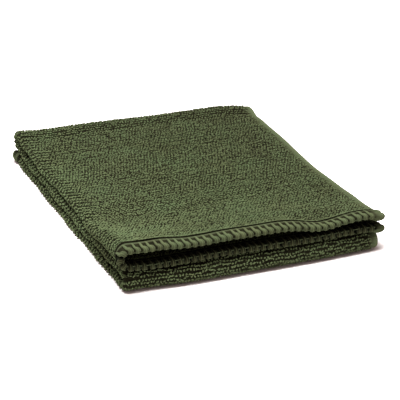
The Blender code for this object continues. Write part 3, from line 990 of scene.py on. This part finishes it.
def overcast(end, name, seed):
    """The bundles of yarn over one hem's edge."""
    chance = np.random.default_rng(seed)
    sewn = hem_length(end) - 2 * NUB_LENGTH
    count = round(sewn / STITCH_PITCH)
    places = NUB_LENGTH + (np.arange(count) + 0.5) * sewn / count
    places = places + chance.normal(0.0, STITCH_STRAY, count)
    turns = np.linspace(0.0, math.pi, STITCH_TURNS)
    lines, ways = around_hem(
        end, places, STITCH_ROOT, turns, CORE_RADIUS + STITCH_LIFT, STITCH_SLANT
    )
    forward = unit(np.gradient(lines, axis=1))
    sideways = unit(np.cross(ways, forward))
    widths = [root["width"] for root in STITCH_ROOT]
    widths = np.concatenate([widths, between(STITCH_WAIST, 1.0, np.sin(turns)), widths[::-1]])
    size = chance.uniform(*STITCH_SIZES, count)[:, None] * widths
    spots = np.linspace(-1.0, 1.0, 2 * STITCH_THREADS + 1)
    plump = STITCH_PLUMPNESS * np.sqrt(1.0 - (0.97 * spots) ** 2)
    plump[1::2] += THREAD_RELIEF
    plump[[0, -1]] = -STITCH_SUNK
    aside = STITCH_HALF_WIDTH * size[..., None] * spots
    points = lines[:, :, None] + aside[..., None] * sideways[:, :, None]
    points = points + (plump * size[..., None])[..., None] * ways[:, :, None]
    points[..., 2] = np.maximum(points[..., 2], LOWEST_YARN)
    rings, sides = len(widths), len(spots)
    cell = np.arange(rings * sides).reshape(rings, sides)
    after = np.roll(cell, -1, axis=1)
    quads = np.stack([cell[:-1], cell[1:], after[1:], after[:-1]], -1).reshape(-1, 4)
    ends = np.array([cell[0], cell[-1, ::-1]])
    starts = np.arange(count)[:, None, None] * rings * sides
    walls = (quads + starts).reshape(-1, 4).tolist()
    caps = (ends + starts).reshape(-1, sides).tolist()
    # Painted light on the bundles facing up and painted shade on those facing down
    root = np.ones(len(STITCH_ROOT))
    facing_up = np.concatenate([root, np.cos(turns), -root])
    shades = chance.normal(0.0, STITCH_SHADE_SPREAD, (count, 1, 1)) + THREAD_SHADES
    shades = shades + LIGHT_FROM_ABOVE * facing_up[:, None]
    # Painted shade on the hem's lower layer, inside the mouth
    if end == TOP:
        inner = ease((hem_length(end) / 2 + MOUTH_FADE - places) / MOUTH_FADE)
        shades = shades + MOUTH_SHADE * inner[:, None, None]
    piece = make_mesh(
        name, points.reshape(-1, 3), walls + caps, stitch_yarn, shade=shades.ravel()
    )
    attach(piece, "root")
    return piece


# A hem's rounded end: its rings, by their distance inwards from the selvedge. The ends hang down
# a little, more at the front hem, which lies on top.
NUB_DEPTH = 0.0056
NUB_HALF_HEIGHT = 0.0058
NUB_SHAPE = (
    {"from_end": -0.0038, "size": 0.16},
    {"from_end": -0.0034, "size": 0.38},
    {"from_end": -0.0023, "size": 0.62},
    {"from_end": -0.0005, "size": 0.81},
    {"from_end": 0.0018, "size": 0.94},
    {"from_end": 0.0050, "size": 1.02},
    {"from_end": 0.0085, "size": 1.02},
    {"from_end": 0.0110, "size": 0.94},
    {"from_end": NUB_LENGTH, "size": 0.78},
)
NUB_SIDES = 14
FRONT_NUB_SAG = 0.0026
BACK_NUB_SAG = 0.0012


def nubs(end, name, sag):
    """The rolled hem's two rounded ends, past its last stitches."""
    points, quads = [], []
    inwards = np.array([ring["from_end"] for ring in NUB_SHAPE])
    size = np.array([ring["size"] for ring in NUB_SHAPE])
    rings = len(NUB_SHAPE)
    cell = np.arange(rings * NUB_SIDES).reshape(rings, NUB_SIDES)
    after = np.roll(cell, -1, axis=1)
    walls = np.stack([cell[:-1], after[:-1], after[1:], cell[1:]], -1).reshape(-1, 4)
    for start, inward in ((0.0, 1.0), (hem_length(end), -1.0)):
        read = hem_spots(end, start + inward * np.maximum(inwards, 0.0))
        line, normal = hem_line(end, NUB_DEPTH)
        centre, normal = read(line), unit(read(normal))
        outward = unit(read(edge_line(end)) - centre)
        past = np.maximum(-inwards, 0.0)
        centre = centre - past[:, None] * unit(centre[-1] - centre[0])
        centre = centre - sag * np.sign(normal[:, 2:]) * normal
        round_it = 2 * math.pi * np.arange(NUB_SIDES) / NUB_SIDES
        across_it = NUB_DEPTH * np.sin(round_it)[:, None] * outward[:, None]
        up = NUB_HALF_HEIGHT * np.cos(round_it)[:, None] * normal[:, None]
        first = len(points) * rings * NUB_SIDES
        for face in (*walls, cell[0, ::-1], cell[-1]):
            flipped = (inward < 0) == (end == TOP)
            quads.append((face[::-1] if flipped else face) + first)
        points.append((centre[:, None] + size[:, None, None] * (across_it + up)).reshape(-1, 3))
    points = np.concatenate(points)
    points[:, 2] = np.maximum(points[:, 2], LOWEST_YARN)
    piece = make_mesh(name, points, quads, stitch_yarn)
    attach(piece, "root")
    return piece


PURL_TURN = math.radians(128)
PURL_RADIUS = 0.00062
PURL_LIFT = 0.0007
PURL_RISE = 0.0012
PURL_POINTS = 8


def purl(end, name):
    """A cord along the hem's edge that rides over each bundle and dips between them."""
    sewn = hem_length(end) - 2 * NUB_LENGTH
    count = round(sewn / STITCH_PITCH)
    steps = (np.arange(count)[:, None] + np.linspace(0.0, 1.0, PURL_POINTS)).ravel()
    places = NUB_LENGTH + steps * sewn / count
    rise = 0.5 - 0.5 * np.cos(2 * math.pi * steps)
    lines, ways = around_hem(end, places, (), [PURL_TURN], CORE_RADIUS)
    lines = lines[:, 0] + ways[:, 0] * (PURL_LIFT + PURL_RISE * rise)[:, None]
    shape = (count, PURL_POINTS, 3)
    radii = np.full(shape[:2], PURL_RADIUS)
    points, quads = tubes(lines.reshape(shape), radii, ways[:, 0].reshape(shape))
    points[:, 2] = np.maximum(points[:, 2], LOWEST_YARN)
    piece = make_mesh(name, points, quads, stitch_yarn)
    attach(piece, "root")
    return piece


cloth_pieces += [overcast(TOP, "front_overcast", 21), overcast(BOTTOM, "back_overcast", 22)]
cloth_pieces += [purl(TOP, "front_purl"), purl(BOTTOM, "back_purl")]
cloth_pieces += [
    nubs(TOP, "front_hem_ends", FRONT_NUB_SAG),
    nubs(BOTTOM, "back_hem_ends", BACK_NUB_SAG),
]


# --- The stage ------------------------------------------------------------------------------
# A plain pale floor, a large soft light overhead and a pale surround. They aren't part of the
# towel.
FLOOR_SIZE = 8.0
FLOOR_LEVEL = -0.0002
FLOOR_COLOUR = (0.93, 0.90, 0.89, 1.0)
bpy.ops.mesh.primitive_plane_add(size=FLOOR_SIZE, location=(0.0, 0.0, FLOOR_LEVEL))
floor = bpy.context.active_object
floor.name = "floor"
paper = bpy.data.materials.new("pale_floor")
paper.use_nodes = True
paper_shader = paper.node_tree.nodes["Principled BSDF"]
paper_shader.inputs["Base Color"].default_value = FLOOR_COLOUR
paper_shader.inputs["Roughness"].default_value = 0.9
floor.data.materials.append(paper)

SURROUND_COLOUR = (1.0, 0.76, 0.74, 1.0)
SURROUND_STRENGTH = 0.46
world = bpy.data.worlds.new("surround")
bpy.context.scene.world = world
world.use_nodes = True
background = world.node_tree.nodes["Background"]
background.inputs["Color"].default_value = SURROUND_COLOUR
background.inputs["Strength"].default_value = SURROUND_STRENGTH

# The light overhead looks at the middle of the towel
LIGHT_PLACE = (-0.27, -0.20, 1.8)
LIGHT_SIZE = 1.1
LIGHT_POWER = 108.0
bpy.ops.object.light_add(type="AREA", location=LIGHT_PLACE)
lamp = bpy.context.active_object
lamp.name = "overhead"
lamp.data.shape = "SQUARE"
lamp.data.size = LIGHT_SIZE
lamp.data.energy = LIGHT_POWER
lamp.rotation_euler = Vector(LIGHT_PLACE).to_track_quat("Z", "Y").to_euler()

# The camera looks down at the towel from in front and a little to the left
AZIMUTH = math.radians(-21.76)
ELEVATION = math.radians(24.1)
DISTANCE = 2.6535
LOOKED_AT = Vector((-0.0009, -0.0434, 0.0230))
back = Vector((
    math.sin(AZIMUTH) * math.cos(ELEVATION),
    -math.cos(AZIMUTH) * math.cos(ELEVATION),
    math.sin(ELEVATION),
))
bpy.ops.object.camera_add(location=LOOKED_AT + back * DISTANCE)
camera = bpy.context.active_object
camera.rotation_euler = back.to_track_quat("Z", "Y").to_euler()
camera.data.sensor_width = 36.0
camera.data.lens = 180.0
camera.data.clip_end = 50.0
bpy.context.scene.camera = camera
bpy.context.scene.view_settings.view_transform = "Standard"
